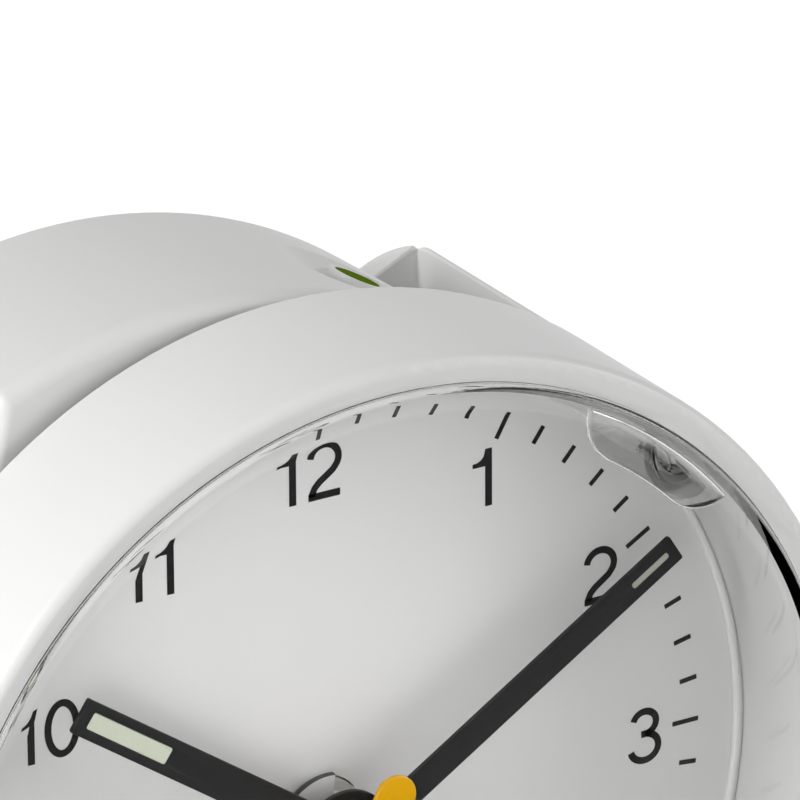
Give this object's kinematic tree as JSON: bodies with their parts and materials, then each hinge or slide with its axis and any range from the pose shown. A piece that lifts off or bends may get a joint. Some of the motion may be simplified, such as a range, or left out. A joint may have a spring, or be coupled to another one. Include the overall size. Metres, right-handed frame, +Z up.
{
  "type": "quartz alarm clock",
  "caption": "Round quartz alarm clock: a drum with a curved rocker on top that switches the alarm, a clear crystal over the dial and hands, and knobs and a battery door at the back.",
  "frame": {"origin": "centre of the bounding box on the table, under the middle of the clock", "axes": "+Z up, +X to the reader's right, the dial faces -Y"},
  "size_m": [0.0676, 0.038, 0.0698],
  "materials": {
    "case_white": "fine satin moulding",
    "rocker_white": "fine satin moulding",
    "rubber": "matt",
    "steel": "zinc plated",
    "crystal": "clear polished",
    "clear_guide": "clear moulded",
    "lamp": "clear cap",
    "dial_silver": "fine matt silver grey",
    "marker_green": "printed",
    "hand_white": "satin",
    "hand_black": "satin",
    "lume": "pale green",
    "hand_yellow": "glossy",
    "plain_white": "unpainted",
    "gear_white": "unpainted",
    "magnet": "sintered",
    "copper": "enamelled wire",
    "board_green": "coated",
    "black_resin": "moulded",
    "nickel": "plated",
    "cell_wrap": "printed sleeve"
  },
  "bodies": {
    "case": {"front_housing": "case_white", "rear_housing": "case_white", "rubber_feet": "rubber", "case_screws": "steel", "crystal": "crystal", "light_guide": "clear_guide", "dial_led": "lamp", "dial_plate": "dial_silver", "rocker_bracket": "plain_white", "rocker_pin": "steel", "alarm_switch": "black_resin", "movement_front_plate": "plain_white", "movement_mid_plate": "plain_white", "movement_case": "plain_white", "movement_screws": "steel", "stator": "steel", "coil": "copper", "coil_core": "steel", "circuit_board": "board_green", "control_chip": "black_resin", "quartz_can": "nickel", "buzzer": "black_resin", "battery": "cell_wrap", "positive_contact": "nickel", "negative_contact": "nickel"},
    "rocker": {"alarm_rocker": "rocker_white", "alarm_marker": "marker_green"},
    "switch_slider": {"switch_slider": "plain_white"},
    "second": {"second_hand": "hand_yellow", "second_wheel": "gear_white"},
    "third": {"third_wheel": "gear_white"},
    "centre": {"centre_wheel": "gear_white"},
    "fifth": {"fifth_wheel": "gear_white"},
    "rotor": {"rotor": "magnet"},
    "minute": {"minute_hand": "hand_black", "minute_lume": "lume", "cannon_pinion": "gear_white"},
    "minute_wheel": {"minute_wheel": "gear_white"},
    "hour": {"hour_hand": "hand_black", "hour_lume": "lume", "hour_wheel": "gear_white"},
    "time_knob": {"time_set_knob": "case_white", "time_set_shaft": "gear_white"},
    "alarm": {"alarm_hand": "hand_white", "alarm_wheel": "gear_white"},
    "alarm_knob": {"alarm_set_knob": "case_white", "alarm_set_shaft": "gear_white"},
    "battery_door": {"battery_door": "case_white"}
  },
  "joints": [
    {"name": "rocker_tilt", "type": "hinge", "parent": "case", "child": "rocker", "pos_m": [0, -0.0089, 0.059], "axis": [0, -1, 0], "range_deg": [0, 27.4]},
    {"name": "switch_slide", "type": "slide", "parent": "case", "child": "switch_slider", "axis": [1, 0, 0], "range_m": [0, 0.0026]},
    {"name": "second_spin", "type": "hinge", "parent": "case", "child": "second", "pos_m": [0, -0.0089, 0.0354], "axis": [0, 1, 0], "continuous": true},
    {"name": "third_spin", "type": "hinge", "parent": "case", "child": "third", "pos_m": [-0.00639, -0.0089, 0.03307], "axis": [0, 1, 0], "continuous": true},
    {"name": "centre_spin", "type": "hinge", "parent": "case", "child": "centre", "pos_m": [0, -0.0089, 0.0354], "axis": [0, 1, 0], "continuous": true},
    {"name": "fifth_spin", "type": "hinge", "parent": "case", "child": "fifth", "pos_m": [0.003, -0.0089, 0.0302], "axis": [0, 1, 0], "continuous": true},
    {"name": "rotor_spin", "type": "hinge", "parent": "case", "child": "rotor", "pos_m": [0.0058, -0.0089, 0.02535], "axis": [0, 1, 0], "continuous": true},
    {"name": "minute_spin", "type": "hinge", "parent": "case", "child": "minute", "pos_m": [0, -0.0089, 0.0354], "axis": [0, 1, 0], "continuous": true},
    {"name": "minute_wheel_spin", "type": "hinge", "parent": "case", "child": "minute_wheel", "pos_m": [0.00718, -0.0089, 0.03595], "axis": [0, 1, 0], "continuous": true},
    {"name": "hour_spin", "type": "hinge", "parent": "case", "child": "hour", "pos_m": [0, -0.0089, 0.0354], "axis": [0, 1, 0], "continuous": true},
    {"name": "time_knob_spin", "type": "hinge", "parent": "case", "child": "time_knob", "pos_m": [0.0135, -0.0089, 0.0394], "axis": [0, 1, 0], "continuous": true},
    {"name": "alarm_spin", "type": "hinge", "parent": "case", "child": "alarm", "pos_m": [0, -0.0089, 0.0354], "axis": [0, 1, 0], "continuous": true},
    {"name": "alarm_knob_spin", "type": "hinge", "parent": "case", "child": "alarm_knob", "pos_m": [-0.0135, -0.0089, 0.0394], "axis": [0, 1, 0], "continuous": true},
    {"name": "door_slide", "type": "slide", "parent": "case", "child": "battery_door", "axis": [0, 1, 0], "range_m": [0, 0.02]}
  ],
  "couplings": [
    {"joint": "switch_slide", "follows": "rocker_tilt", "m_per_rad": 0.00525},
    {"joint": "third_spin", "follows": "second_spin", "ratio": -0.13333},
    {"joint": "centre_spin", "follows": "second_spin", "ratio": 0.016667},
    {"joint": "fifth_spin", "follows": "second_spin", "ratio": -5},
    {"joint": "rotor_spin", "follows": "second_spin", "ratio": 30},
    {"joint": "minute_wheel_spin", "follows": "minute_spin", "ratio": -0.33333},
    {"joint": "hour_spin", "follows": "minute_spin", "ratio": 0.083333},
    {"joint": "time_knob_spin", "follows": "minute_spin", "ratio": 1},
    {"joint": "alarm_knob_spin", "follows": "alarm_spin", "ratio": -2}
  ]
}
